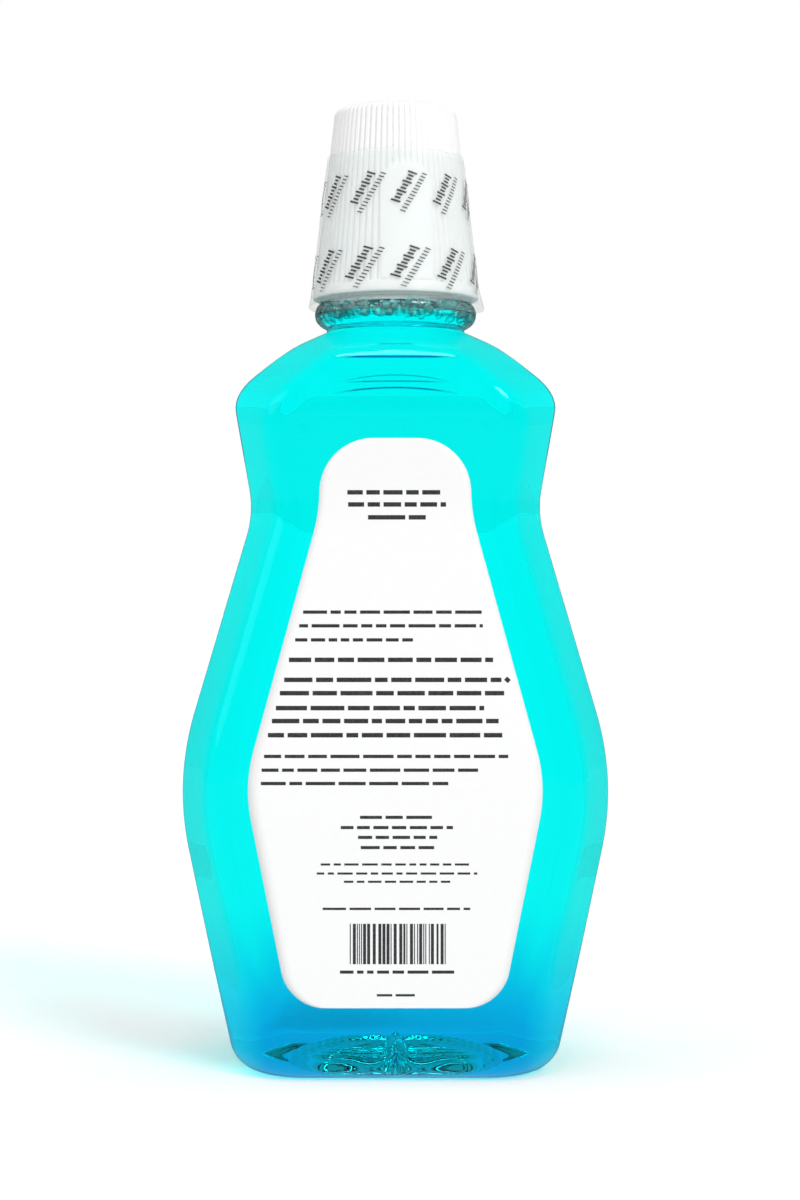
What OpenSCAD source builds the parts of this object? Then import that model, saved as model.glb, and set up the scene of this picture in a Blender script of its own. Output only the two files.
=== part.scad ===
// A one litre mouthwash bottle: blown bottle, liquid, labels, dosing cap and shrink band.
// The bottle stands on z = 0 with its wide faces square to Y. The back label faces -Y.

/* [Bottle outline] */
// Half width of the bottle at its foot
base_half_w = 41.6; // [38:0.1:46]
// Half width where the two straight flanks would meet at the hip
hip_half_w = 58.1; // [54:0.1:62]
// Half width at the waist
waist_half_w = 37.3; // [34:0.1:41]
// Half width at the shoulder corner
shoulder_half_w = 42.8; // [40:0.1:47]
// How far the shoulder's upper bend stands out past the neck's root, at the sides
brow_w = 7.4; // [5:0.1:9]
// Half depth of the bottle at its foot
base_half_d = 32.8; // [30:0.1:35]
// Half depth at the hip
hip_half_d = 32.4; // [31:0.1:36]
// Half depth at the waist
waist_half_d = 28.6; // [26:0.1:31]
// Half depth at the shoulder
shoulder_half_d = 30.2; // [28:0.1:33]

/* [Bottle heights] */
// Height of the hip
hip_z = 75.7; // [70:0.1:80]
// Height of the waist
waist_z = 145.9; // [138:0.1:150]
// Height of the shoulder corner
shoulder_z = 177.2; // [176:0.1:179]
// Height where the neck leaves the shoulder
root_z = 194.2; // [192:0.1:197]
// How far the shoulder's upper bend lies below the neck's root
brow_h = 3.4; // [2:0.1:4]
// How far the bottle's lip stands above the collar
finish_h = 17.4; // [15:0.1:19]
// How far the liquid's level lies below the top of the collar
fill_drop = 4.7; // [4:0.1:40]

/* [Facets] */
// How much narrower the front panel is than the bottle at the foot, on each side
base_facet_w = 9.4; // [7:0.1:12]
// The same at the hip
hip_facet_w = 7.6; // [5:0.1:10]
// The same at the waist
waist_facet_w = 7.8; // [6:0.1:10]
// Half width of the front panel at its upper corners
panel_top_half_w = 33.6; // [30:0.1:36]
// Height of the front panel's upper corners
panel_top_z = 172.8; // [168:0.1:175]
// Half width of the front panel's top edge
panel_edge_half_w = 16.5; // [13:0.1:20]
// Height of the front panel's top edge
panel_edge_z = 187.2; // [185:0.1:189]
// Half depth of the panel's top edge
panel_edge_half_d = 26.6; // [24:0.1:28]
// Half depth of the side facet at the foot
base_side_half_d = 20.0; // [14:0.1:22]
// Half depth of the side facet from the hip up
side_half_d = 15.0; // [12:0.1:18]
// Radius of the corner beside the front panel
panel_corner_r = 3.0; // [2:0.1:4]
// Radius of the corner beside the side facet
side_corner_r = 5.0; // [3:0.1:7]

/* [Wall and base] */
// Thickness of the blown wall
wall = 0.6; // [0.4:0.05:1]
// Radius of the rounded edge under the bottle
base_r = 7.0; // [6:0.1:9]
// Width of the ring that the bottle stands on
foot_w = 4.0; // [3:0.1:6]
// Height of the hollow under the base
push_up_h = 6.5; // [3:0.1:9]

/* [Neck] */
// Radius of the groove below the collar
groove_r = 18.4; // [17.5:0.1:18.6]
// Height of the groove
groove_h = 1.5; // [1:0.1:2.5]
// How far the shoulder's upper end stands out past the groove
root_ledge_w = 0.7; // [0.3:0.1:1]
// Radius of the collar's round bead
collar_bead_r = 3.7; // [3:0.1:4]
// Outer radius of the collar
collar_r = 21.6; // [21:0.1:22]
// Radius of the bore through the mouth
bore_r = 12.9; // [11:0.1:13.5]
// Radius of the neck under the thread
finish_r = 15.2; // [14.8:0.1:15.4]

/* [Thread] */
// Rise of the thread in one turn
thread_pitch = 4.23; // [4:0.01:5]
// Height of the ridge above the wall that carries it
thread_h = 1.1; // [0.8:0.05:1.2]
// Width of the ridge at its foot
thread_foot_w = 2.0; // [1.6:0.1:2.2]
// Width of the ridge at its crest
thread_crest_w = 0.8; // [0.6:0.1:1]
// Number of turns of each ridge
thread_turns = 1.25; // [1:0.05:1.5]
// How far above the collar the neck's thread starts
thread_lift = 4.2; // [3.5:0.1:5]
// Gap between one part's crest and the other part's wall
thread_gap = 0.4; // [0.3:0.05:0.6]
// Gap between the flanks that carry the load
flank_gap = 0.3; // [0.25:0.05:0.5]

/* [Cap] */
// Outer radius of the cap at its rim
cap_rim_r = 22.2; // [22:0.1:24]
// Outer radius of the cap at its top, before the edge is rounded
cap_top_r = 16.3; // [15:0.1:18]
// Height of the cap
cap_h = 50.6; // [46:0.1:56]
// Gap between the cap's rim and the collar
rim_gap = 0.3; // [0.3:0.05:1]
// Wall of the cap, from inside to the bottom of the grooves
cap_wall = 1.2; // [1:0.05:1.4]
// Thickness of the cap's closed end
cap_end = 1.8; // [1.2:0.1:2.5]
// Radius of the edge round the cap's top
cap_edge_r = 1.8; // [1:0.1:2.5]
// Height of the plain band round the rim
rim_band_h = 2.8; // [2:0.1:4]
// How far the rim band stands out past the ribs
rim_proud = 0.1; // [0.05:0.05:0.3]
// Number of grip ribs
rib_count = 70; // [50:1:80]
// Height of a grip rib
rib_h = 0.4; // [0.2:0.05:0.5]
// Width of a squeeze pad
pad_w = 14.0; // [10:0.5:18]
// Height of the squeeze pad's lower edge above the rim
pad_lift = 2.4; // [2:0.1:4]
// Height of the squeeze pad
pad_h = 32.0; // [26:0.5:36]
// How far a squeeze pad stands out past the ribs
pad_proud = 0.3; // [0.15:0.05:0.4]
// Direction of the squeeze pads, from the back of the bottle
pad_turn = 9; // [-90:1:90]
// Height of the dose line above the bottom of the turned-over cup
dose_z = 20; // [12:0.5:24]
// How far the dose line stands out from the wall
dose_line_h = 0.3; // [0.2:0.05:0.5]
// Width of the dose line
dose_line_w = 0.6; // [0.4:0.1:1]

/* [Insert and liner] */
// Wall of the threaded skirt
skirt_wall = 1.3; // [1:0.05:1.4]
// Height of the skirt's lower end above the cap's rim
skirt_lift = 1.8; // [1:0.1:3]
// Thickness of the deck that closes on the bottle's lip
deck_t = 1.5; // [1:0.1:2]
// Width of the ledge that the deck is pushed against
ledge_w = 0.7; // [0.4:0.05:1]
// Thickness of the liner ring
liner_t = 1.0; // [0.6:0.1:1.5]
// How far the liner's inner edge stands back from the bore
liner_gap = 0.3; // [0.1:0.05:0.6]
// How far the liner's outer edge reaches past the lip
liner_over = 0.6; // [0.3:0.1:1]

/* [Shrink band] */
// Thickness of the clear film
film_t = 0.25; // [0.1:0.05:0.3]
// Gap between the film and the ribs
film_gap = 0.3; // [0.3:0.05:0.5]
// How far the film hangs below the cap's rim
film_drop = 2.2; // [1:0.1:3]
// Height of the film
film_h = 40.0; // [30:0.5:44]

/* [Labels] */
// Thickness of a label
label_t = 0.15; // [0.1:0.01:0.2]
// Height of the label's lower edge
label_low_z = 19.0; // [14:0.5:26]
// Height of the label's upper edge
label_high_z = 164.5; // [155:0.5:166]
// Half width of the label at its lower edge
label_low_half_w = 27.2; // [24:0.1:29]
// Half width of the label at the hip
label_hip_half_w = 38.6; // [34:0.1:42]
// Half width of the label at the waist
label_waist_half_w = 19.4; // [16:0.1:23]
// Half width of the label at its upper edge
label_high_half_w = 19.6; // [17:0.1:24]
// Radius of the label's lower corners
label_low_r = 9.0; // [4:0.5:12]
// Radius of the label's upper corners
label_high_r = 14.0; // [4:0.5:16]

/* [Hidden] */
$fn = 96;

// How far each outline corner is eased, above and below its height
hip_ease = 18;
waist_ease = 6;
shoulder_ease = 5;
panel_ease = 3;
edge_ease = 1.5;

// The neck is round, so its width and depth are one radius there
root_r = groove_r + root_ledge_w;
round_from_z = panel_edge_z - edge_ease;

// Knots of each outline: height, half width or half depth, ease
width_knots = [
    [0, base_half_w],
    [hip_z, hip_half_w, hip_ease],
    [waist_z, waist_half_w, waist_ease],
    [shoulder_z, shoulder_half_w, shoulder_ease],
    [root_z - brow_h, root_r + brow_w, edge_ease],
    [root_z, root_r]
];
depth_knots = [
    [0, base_half_d],
    [hip_z, hip_half_d, hip_ease],
    [waist_z, waist_half_d, waist_ease],
    [shoulder_z, shoulder_half_d, shoulder_ease],
    [panel_edge_z, panel_edge_half_d, edge_ease],
    [root_z, root_r]
];
panel_knots = [
    [0, base_half_w - base_facet_w],
    [hip_z, hip_half_w - hip_facet_w, hip_ease],
    [waist_z, waist_half_w - waist_facet_w, waist_ease],
    [panel_top_z, panel_top_half_w, panel_ease],
    [panel_edge_z, panel_edge_half_w, edge_ease],
    [root_z, root_r * tan(22.5)]
];
side_knots = [
    [0, base_side_half_d],
    [hip_z, side_half_d, hip_ease],
    [shoulder_z, side_half_d, shoulder_ease],
    [root_z, root_r * tan(22.5)]
];

function total(v, i = 0) = i == len(v) - 1 ? v[i] : v[i] + total(v, i + 1);
function ramp(t, ease) = t <= -ease ? 0 : t >= ease ? t : (t + ease) * (t + ease) / (4 * ease);
function slope(k, i) = (k[i + 1][1] - k[i][1]) / (k[i + 1][0] - k[i][0]);
// Straight stretches between the knots, with each corner eased by a parabola
function along(k, z) = k[0][1] + slope(k, 0) * (z - k[0][0])
    + total([for (i = [1 : len(k) - 2]) (slope(k, i) - slope(k, i - 1)) * ramp(z - k[i][0], k[i][2])]);
slope_step = 0.1;
function rise(k, z) = (along(k, z + slope_step) - along(k, z - slope_step)) / (2 * slope_step);
function smooth(t) = t <= 0 ? 0 : t >= 1 ? 1 : t * t * (3 - 2 * t);

// One quarter of a section, from the middle of the front panel to the middle of the side facet
panel_arc_steps = 3;
side_arc_steps = 2;
panel_splits = 3;
least_corner_r = 1;

function quarter(f, w, d, c, inset) =
    let (turn = atan2(d - c, w - f),
         f2 = f - inset * tan(turn / 2),
         d2 = d - inset,
         w2 = w - inset,
         c2 = c - inset * tan((90 - turn) / 2),
         r1 = max(panel_corner_r - inset, least_corner_r),
         r2 = max(side_corner_r - inset, least_corner_r),
         arc_x = f2 - r1 * tan(turn / 2),
         arc_y = c2 - r2 * tan((90 - turn) / 2))
    concat(
        [for (i = [0 : panel_splits - 1]) [arc_x * i / panel_splits, d2]],
        [for (i = [0 : panel_arc_steps])
            let (a = turn * i / panel_arc_steps) [arc_x + r1 * sin(a), d2 - r1 + r1 * cos(a)]],
        [for (i = [0 : side_arc_steps])
            let (a = turn + (90 - turn) * i / side_arc_steps) [w2 - r2 + r2 * sin(a), arc_y + r2 * cos(a)]],
        [[w2, 0]]);

function rounded(q, w, d, share) = [for (i = [0 : len(q) - 1])
    let (a = 90 * i / (len(q) - 1)) q[i] * (1 - share) + [w * sin(a), d * cos(a)] * share];

function whole(q) = concat(
    q,
    [for (i = [len(q) - 2 : -1 : 0]) [q[i][0], -q[i][1]]],
    [for (i = [1 : len(q) - 1]) [-q[i][0], -q[i][1]]],
    [for (i = [len(q) - 2 : -1 : 1]) [-q[i][0], q[i][1]]]);

// The bottle's outline at height z, drawn in by inset
function section(z, inset) =
    let (w = along(width_knots, z), d = along(depth_knots, z))
    whole(rounded(quarter(along(panel_knots, z), w, d, along(side_knots, z), inset),
                  w - inset, d - inset, smooth((z - round_from_z) / (root_z - round_from_z))));

function at(outline, z, grow = 1) = [for (p = outline) [p[0] * grow, p[1] * grow, z]];

// Heights of the rings above the rounded base: closer together where the outline bends
base_angles = [0, 25, 50, 72, 90];
hollow_shares = [0.12, 0.4, 0.65, 0.84, 1];
body_heights = concat(
    [for (s = [-1 : 0.4 : 1]) hip_z + s * hip_ease],
    [for (s = [-1 : 0.5 : 1]) waist_z + s * waist_ease]);
shoulder_low_z = panel_top_z - panel_ease;
shoulder_steps = 11;
shoulder_heights = [for (i = [0 : shoulder_steps])
    shoulder_low_z + (root_z - shoulder_low_z) * i / shoulder_steps];

// All rings of the bottle's surface, t inside its outer face
function bottle_rings(t) = concat(
    [for (s = hollow_shares)
        at(section(0, base_r + foot_w), t + push_up_h * (1 - pow(s, 3)), s)],
    [for (a = base_angles)
        let (r = base_r - t, z = base_r - r * cos(a)) at(section(z, base_r - r * sin(a)), z)],
    [for (z = concat(body_heights, shoulder_heights))
        let (lower = z == root_z ? z - t : z, lean = rise(width_knots, lower - slope_step))
        at(section(lower, t * sqrt(1 + lean * lean)), lower)]);

// A closed solid through rings that all have the same number of points, clockwise seen from the last
module loft(rings) {
    n = len(rings[0]);
    last = len(rings) - 1;
    first_middle = n * (last + 1);
    last_middle = first_middle + 1;
    polyhedron(
        points = concat([for (ring = rings) for (p = ring) p], [total(rings[0]) / n, total(rings[last]) / n]),
        faces = concat(
            [for (i = [0 : n - 1]) [first_middle, (i + 1) % n, i]],
            [for (k = [0 : last - 1]) for (i = [0 : n - 1])
                each [[k * n + i, k * n + (i + 1) % n, (k + 1) * n + i],
                      [k * n + (i + 1) % n, (k + 1) * n + (i + 1) % n, (k + 1) * n + i]]],
            [for (i = [0 : n - 1]) [last_middle, last * n + i, last * n + (i + 1) % n]]));
}

// The neck above the shoulder. Its solid starts down inside the shoulder
collar_z = root_z + groove_h + collar_bead_r;
collar_top_z = collar_z + collar_bead_r;
lip_z = collar_top_z + finish_h;
fill_z = collar_top_z - fill_drop;
neck_sink = 4;
stem_low_z = root_z - neck_sink;

// Length by which one solid reaches into another, or a cut past a face
overlap = 1;

// The neck's round solid, t inside its outer face below the mouth
module neck(t, mouth_r, top_z) {
    rotate_extrude() {
        translate([0, stem_low_z])
            square([groove_r - t, collar_z - stem_low_z]);
        translate([0, collar_z - overlap])
            square([collar_r - collar_bead_r, overlap + collar_bead_r - t]);
        translate([collar_r - collar_bead_r, collar_z])
            circle(r = collar_bead_r - t);
        translate([0, collar_z])
            square([mouth_r, top_z - collar_z]);
    }
}

// A thread ridge that rises anticlockwise. sense is 1 for a ridge that stands outward, -1 inward
ridge_steps = 40;
ridge_fade = 30;
ridge_sink = 0.3;
least_share = 0.05;
function ridge_rings(wall_r, sense, low_z, start) = [for (i = [0 : ridge_steps * thread_turns])
    let (a = 360 * i / ridge_steps,
         end = 360 * thread_turns,
         share = min(1, a / ridge_fade, (end - a) / ridge_fade),
         crest = max(share, least_share) * thread_h,
         half_crest = thread_foot_w / 2 - (thread_foot_w - thread_crest_w) / 2 * crest / thread_h,
         z = low_z + thread_pitch * a / 360,
         foot = wall_r - sense * ridge_sink,
         tip = wall_r + sense * crest)
    [for (p = [[foot, -thread_foot_w / 2], [tip, -half_crest], [tip, half_crest], [foot, thread_foot_w / 2]])
        [p[0] * cos(start + a), p[0] * sin(start + a), z + p[1]]]];

module ridge(wall_r, sense, low_z, start) {
    rings = ridge_rings(wall_r, sense, low_z, start);
    loft(sense > 0 ? rings : [for (i = [len(rings) - 1 : -1 : 0]) rings[i]]);
}

neck_thread_z = collar_top_z + thread_lift;
// The cap's ridge lies under the neck's, so that turning the cap home pulls it down
cap_thread_z = neck_thread_z - (thread_foot_w + thread_crest_w) / 2 - flank_gap;

module bottle_shell() {
    color("paleturquoise")
    difference() {
        union() {
            loft(bottle_rings(0));
            neck(0, finish_r, lip_z);
            ridge(finish_r, 1, neck_thread_z, 0);
        }
        loft(bottle_rings(wall));
        neck(wall, bore_r, lip_z + overlap);
    }
}

module mouthwash() {
    color("turquoise")
    difference() {
        union() {
            loft(bottle_rings(wall));
            neck(wall, bore_r, lip_z);
        }
        translate([-collar_r * 2, -collar_r * 2, fill_z])
            cube([collar_r * 4, collar_r * 4, lip_z]);
    }
}

// The cap, closed at its top, which is the bottom of the cup when it is turned over
rim_z = collar_top_z + rim_gap;
cap_top_z = rim_z + cap_h;
function cap_r(z) = cap_rim_r + (cap_top_r - cap_rim_r) * (z - rim_z) / cap_h;
function rib_root_r(z) = cap_r(z) - rim_proud - rib_h;
deck_z = lip_z + liner_t;
seat_r = rib_root_r(deck_z + deck_t) - cap_wall;

// One outline round the ribs, drawn in by inset, with grooves as deep as groove
rib_sides = 4;
function rib_ring(z, inset, groove) = [for (i = [0 : rib_count * rib_sides - 1])
    let (a = -360 * i / (rib_count * rib_sides),
         r = cap_r(z) - rim_proud - inset - (i % rib_sides < 2 ? 0 : groove))
    [r * cos(a), r * sin(a), z]];

// The ribbed solid starts inside the rim band and ends in the rounded top edge
module cap_ribs() {
    edge_z = cap_top_z - cap_edge_r;
    loft(concat(
        [rib_ring(rim_z + overlap, rib_h, rib_h), rib_ring(edge_z, 0, rib_h)],
        [for (a = [30 : 30 : 90])
            rib_ring(edge_z + cap_edge_r * sin(a), cap_edge_r * (1 - cos(a)), rib_h * cos(a))]));
}

module rim_band() {
    high_z = rim_z + rim_band_h;
    rotate_extrude()
        polygon([[0, rim_z], [cap_rim_r, rim_z], [cap_r(high_z) + rim_proud, high_z], [0, high_z]]);
}

module squeeze_pads() {
    low_z = rim_z + pad_lift;
    arch_z = low_z + pad_h - pad_w / 2;
    proud = pad_proud - rim_proud;
    intersection() {
        rotate_extrude()
            polygon([[0, rim_z], [cap_rim_r + proud, rim_z], [cap_top_r + proud, cap_top_z], [0, cap_top_z]]);
        rotate([0, 0, pad_turn])
            rotate([90, 0, 0])
                linear_extrude(height = 3 * cap_rim_r, center = true)
                    union() {
                        translate([-pad_w / 2, low_z])
                            square([pad_w, arch_z - low_z]);
                        translate([0, arch_z])
                            circle(d = pad_w);
                    }
    }
}

module cap_hollow() {
    ledge_z = deck_z + deck_t;
    floor_z = cap_top_z - cap_end;
    line_z = floor_z - dose_z;
    cup_low_r = seat_r - ledge_w;
    cup_high_r = rib_root_r(floor_z) - cap_wall;
    line_r = cup_high_r + (cup_low_r - cup_high_r) * (floor_z - line_z) / (floor_z - ledge_z);
    rotate_extrude()
        polygon([[0, rim_z - overlap], [rib_root_r(rim_z) - cap_wall, rim_z - overlap],
                 [rib_root_r(rim_z) - cap_wall, rim_z], [seat_r, deck_z - overlap],
                 [seat_r, ledge_z], [cup_low_r, ledge_z], [line_r, line_z - dose_line_w],
                 [line_r - dose_line_h, line_z], [cup_high_r, floor_z], [0, floor_z]]);
}

module cap_shell() {
    color("white")
    difference() {
        union() {
            cap_ribs();
            rim_band();
            squeeze_pads();
        }
        cap_hollow();
    }
}

// The threaded skirt hangs from a deck with a hole as wide as the mouth
skirt_in_r = finish_r + thread_h + thread_gap;
skirt_low_z = rim_z + skirt_lift;

module thread_insert() {
    color("whitesmoke")
    union() {
        rotate_extrude()
            polygon([[bore_r, deck_z], [skirt_in_r, deck_z], [skirt_in_r, skirt_low_z],
                     [skirt_in_r + skirt_wall, skirt_low_z], [skirt_in_r + skirt_wall, deck_z],
                     [seat_r, deck_z], [seat_r, deck_z + deck_t], [bore_r, deck_z + deck_t]]);
        ridge(skirt_in_r, -1, cap_thread_z, 0);
    }
}

module cap_liner() {
    color("gainsboro")
    rotate_extrude()
        translate([bore_r + liner_gap, lip_z])
            square([finish_r - bore_r - liner_gap + liner_over, liner_t]);
}

// A clear sleeve that follows the cap's taper and hangs below its rim
module neckband() {
    low_z = rim_z - film_drop;
    high_z = low_z + film_h;
    inner = pad_proud - rim_proud + film_gap;
    color("azure", 0.35)
    rotate_extrude()
        polygon([[cap_r(low_z) + inner, low_z], [cap_r(low_z) + inner + film_t, low_z],
                 [cap_r(high_z) + inner + film_t, high_z], [cap_r(high_z) + inner, high_z]]);
}

// Labels, each a thin sheet on a wide panel
label_knots = [
    [label_low_z, label_low_half_w],
    [hip_z, label_hip_half_w, hip_ease / 2],
    [waist_z, label_waist_half_w, waist_ease],
    [label_high_z, label_high_half_w]
];
corner_angles = [0, 15, 30, 45, 60, 75, 90];
label_heights = concat(
    [for (a = corner_angles) label_low_z + label_low_r * (1 - cos(a))],
    [for (z = body_heights) if (z > label_low_z + label_low_r && z < label_high_z - label_high_r) z],
    [for (i = [len(corner_angles) - 1 : -1 : 0])
        label_high_z - label_high_r * (1 - cos(corner_angles[i]))]);
function corner_cut(h, r) = h >= r ? 0 : r - sqrt(max(0, r * r - (r - h) * (r - h)));
function label_half_w(z) = along(label_knots, z)
    - corner_cut(z - label_low_z, label_low_r) - corner_cut(label_high_z - z, label_high_r);

module label() {
    loft([for (z = label_heights)
        let (x = label_half_w(z), y = along(depth_knots, z))
        [[-x, y + label_t, z], [x, y + label_t, z], [x, y, z], [-x, y, z]]]);
}

module back_label() {
    color("white")
    rotate([0, 0, 180])
        label();
}

// The front label is clear film, so the liquid shows through it
module front_label() {
    color("azure", 0.35)
    label();
}

bottle_shell();
mouthwash();
cap_shell();
thread_insert();
cap_liner();
neckband();
back_label();
front_label();
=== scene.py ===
# Mouthwash bottle: clear blown bottle, blue-green liquid, ribbed cap, printed shrink band, labels
# Sizes in the dictionaries are millimetres and degrees, as in the model, unless a note says metres
import math
import random

import bpy
import numpy as np
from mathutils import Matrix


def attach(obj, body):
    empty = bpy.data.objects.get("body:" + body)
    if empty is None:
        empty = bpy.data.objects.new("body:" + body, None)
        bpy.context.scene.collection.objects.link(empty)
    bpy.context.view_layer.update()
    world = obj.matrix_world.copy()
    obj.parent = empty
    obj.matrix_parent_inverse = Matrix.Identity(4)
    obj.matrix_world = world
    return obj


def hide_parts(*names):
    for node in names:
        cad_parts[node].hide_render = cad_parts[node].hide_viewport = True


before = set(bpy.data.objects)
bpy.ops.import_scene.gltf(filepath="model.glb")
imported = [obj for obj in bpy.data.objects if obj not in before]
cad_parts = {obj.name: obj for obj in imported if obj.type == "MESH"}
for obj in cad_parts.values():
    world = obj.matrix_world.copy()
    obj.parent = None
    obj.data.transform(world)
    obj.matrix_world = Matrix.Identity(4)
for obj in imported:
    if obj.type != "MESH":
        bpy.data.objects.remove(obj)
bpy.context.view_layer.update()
print("frame loaded:", sorted(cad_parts))
mm = 0.001
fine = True


# ---- meshes from rings and profiles

def finishObject(name, mesh, material=None, smooth=True):
    if material:
        mesh.materials.clear()
        mesh.materials.append(material)
    mesh.polygons.foreach_set("use_smooth", [smooth] * len(mesh.polygons))
    piece = bpy.data.objects.new(name, mesh)
    bpy.context.scene.collection.objects.link(piece)
    return piece


def pointArray(mesh):
    spots = np.zeros(len(mesh.vertices) * 3)
    mesh.vertices.foreach_get("co", spots)
    return spots.reshape(-1, 3)


def enclosedVolume(mesh):
    mesh.calc_loop_triangles()
    picks = np.zeros(len(mesh.loop_triangles) * 3, dtype=np.int32)
    mesh.loop_triangles.foreach_get("vertices", picks)
    p, q, r = pointArray(mesh)[picks.reshape(-1, 3)].transpose(1, 0, 2)
    return float((np.cross(p, q) * r).sum() / 6)


def ringMesh(name, rings, closed=False):
    # rings of equal length joined in order; each end is filled round a middle point
    rings = np.array(rings)
    count, size = rings.shape[:2]
    points = rings.reshape(-1, 3)
    here = np.arange(size)
    after = (here + 1) % size
    faces = []
    for k in range(count if closed else count - 1):
        low = k * size
        high = (k + 1) % count * size
        faces += np.stack([low + here, low + after, high + after, high + here], 1).tolist()
    if not closed:
        points = np.vstack([points, rings[0].mean(0), rings[-1].mean(0)])
        first = count * size
        faces += [[first, int(j), int(i)] for i, j in zip(here, after)]
        last = (count - 1) * size
        faces += [[first + 1, last + int(i), last + int(j)] for i, j in zip(here, after)]
    mesh = bpy.data.meshes.new(name)
    mesh.from_pydata((points * mm).tolist(), [], faces)
    mesh.validate()
    if enclosedVolume(mesh) < 0:
        mesh.flip_normals()
    return mesh


def turned(profile, size):
    # a ring of points at each radius and height, starting at +Y
    angles = 2 * math.pi * np.arange(size) / size
    spin = np.stack([np.sin(angles), np.cos(angles)], 1)
    return [np.column_stack([spin * r, np.full(size, z)]) for r, z in profile]


def arcPoints(centre, radius, start, end, steps):
    # radius and height along an arc; angles are measured up from the outward direction
    angles = np.radians(np.linspace(start, end, steps + 1))
    return [(centre[0] + radius * math.cos(a), centre[1] + radius * math.sin(a)) for a in angles]


def joined(name, meshes):
    # one mesh from several, with their materials kept apart
    parts = [finishObject(name + "Part", mesh) for mesh in meshes]
    for part in parts:
        part.select_set(True)
    bpy.context.view_layer.objects.active = parts[0]
    with bpy.context.temp_override(active_object=parts[0], selected_editable_objects=parts):
        bpy.ops.object.join()
    mesh = parts[0].data
    bpy.data.objects.remove(parts[0])
    return mesh


def markPoints(mesh, name, values):
    # a number for each point, which a tree reads back by its name
    field = mesh.attributes.new(name, "FLOAT", "POINT")
    field.data.foreach_set("value", np.array(values, dtype=np.float32))


# ---- node helpers

def addNode(tree, kind, feeds=None, **settings):
    item = tree.nodes.new(kind)
    for key, value in settings.items():
        setattr(item, key, value)
    for key, value in (feeds or {}).items():
        if isinstance(value, bpy.types.NodeSocket):
            tree.links.new(value, item.inputs[key])
        else:
            item.inputs[key].default_value = value
    return item


def calc(tree, operation, a, b=0.0, c=0.0):
    return addNode(tree, "ShaderNodeMath", {0: a, 1: b, 2: c}, operation=operation).outputs[0]


def times(tree, first, *others):
    for other in others:
        first = calc(tree, "MULTIPLY", first, other)
    return first


def splitUp(tree, vector):
    return tuple(addNode(tree, "ShaderNodeSeparateXYZ", {0: vector}).outputs)


def ranged(tree, value, low, high, toLow, toHigh, **settings):
    feeds = {"Value": value, 1: low, 2: high, 3: toLow, 4: toHigh}
    return addNode(tree, "ShaderNodeMapRange", feeds, **settings).outputs[0]


def readMark(tree, name):
    feeds = {"Name": name}
    return addNode(tree, "GeometryNodeInputNamedAttribute", feeds, data_type="FLOAT").outputs[0]


def newTree(name, sizes):
    tree = bpy.data.node_groups.new(name, "GeometryNodeTree")
    tree.interface.new_socket(name="Geometry", in_out="INPUT", socket_type="NodeSocketGeometry")
    for label, value in sizes.items():
        kind = "NodeSocketInt" if isinstance(value, int) else "NodeSocketFloat"
        tree.interface.new_socket(name=label, in_out="INPUT", socket_type=kind).default_value = value
    tree.interface.new_socket(name="Geometry", in_out="OUTPUT", socket_type="NodeSocketGeometry")
    return tree, addNode(tree, "NodeGroupInput").outputs


def closeTree(tree, geometry, *materials):
    # where there are several materials, each goes on the faces that have its index
    shape = addNode(tree, "GeometryNodeRealizeInstances", {0: geometry}).outputs[0]
    index = addNode(tree, "GeometryNodeInputMaterialIndex").outputs[0]
    for k, material in enumerate(materials):
        feeds = {"Geometry": shape, "Material": material}
        if len(materials) > 1:
            feeds["Selection"] = calc(tree, "COMPARE", index, k, 0.1)
        shape = addNode(tree, "GeometryNodeSetMaterial", feeds).outputs[0]
    addNode(tree, "NodeGroupOutput", {0: shape})


def grow(piece, tree, sizes):
    # runs a tree on a piece and keeps the result as its plain mesh
    modifier = piece.modifiers.new(tree.name, "NODES")
    modifier.node_group = tree
    for item in tree.interface.items_tree:
        if item.item_type == "SOCKET" and item.in_out == "INPUT" and item.name in sizes:
            modifier[item.identifier] = sizes[item.name]
    bpy.context.view_layer.update()
    shown = piece.evaluated_get(bpy.context.evaluated_depsgraph_get())
    mesh = bpy.data.meshes.new_from_object(shown)
    piece.modifiers.remove(modifier)
    old = piece.data
    piece.data = mesh
    mesh.name = piece.name
    bpy.data.meshes.remove(old)
    bpy.data.node_groups.remove(tree)
    return piece


def place(piece, body, slotName, *nodes):
    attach(piece, body)
    if nodes:
        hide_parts(*nodes)
    print("made", piece.name, len(piece.data.polygons), "faces")


# ---- finishes

def newMaterial(name, color, roughness, **more):
    material = bpy.data.materials.new(name)
    material.use_nodes = True
    tree = material.node_tree
    shader = tree.nodes["Principled BSDF"]
    shader.inputs["Base Color"].default_value = (*color, 1)
    shader.inputs["Roughness"].default_value = roughness
    for key, value in more.items():
        label = {"ior": "IOR", "coatIor": "Coat IOR"}.get(key)
        label = label or "".join(" " + c if c.isupper() else c for c in key).title()
        shader.inputs[label].default_value = value
    where = addNode(tree, "ShaderNodeTexCoord").outputs["Object"]
    return material, tree, shader, where


def speckle(tree, where, scale, detail=3.0, stretch=(1, 1, 1)):
    spread = addNode(tree, "ShaderNodeMapping", {"Vector": where, "Scale": stretch})
    feeds = {"Vector": spread.outputs[0], "Scale": scale, "Detail": detail}
    return addNode(tree, "ShaderNodeTexNoise", feeds).outputs[0]


def blended(tree, share, first, second):
    # a color between two, by a share from 0 to 1; a color is three numbers or a socket
    first, second = [q if isinstance(q, bpy.types.NodeSocket) else (*q, 1) for q in (first, second)]
    return addNode(tree, "ShaderNodeMix", {0: share, 6: first, 7: second}, data_type="RGBA").outputs[2]


def mottled(tree, shader, share, first, second):
    tree.links.new(blended(tree, share, first, second), shader.inputs["Base Color"])


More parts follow.
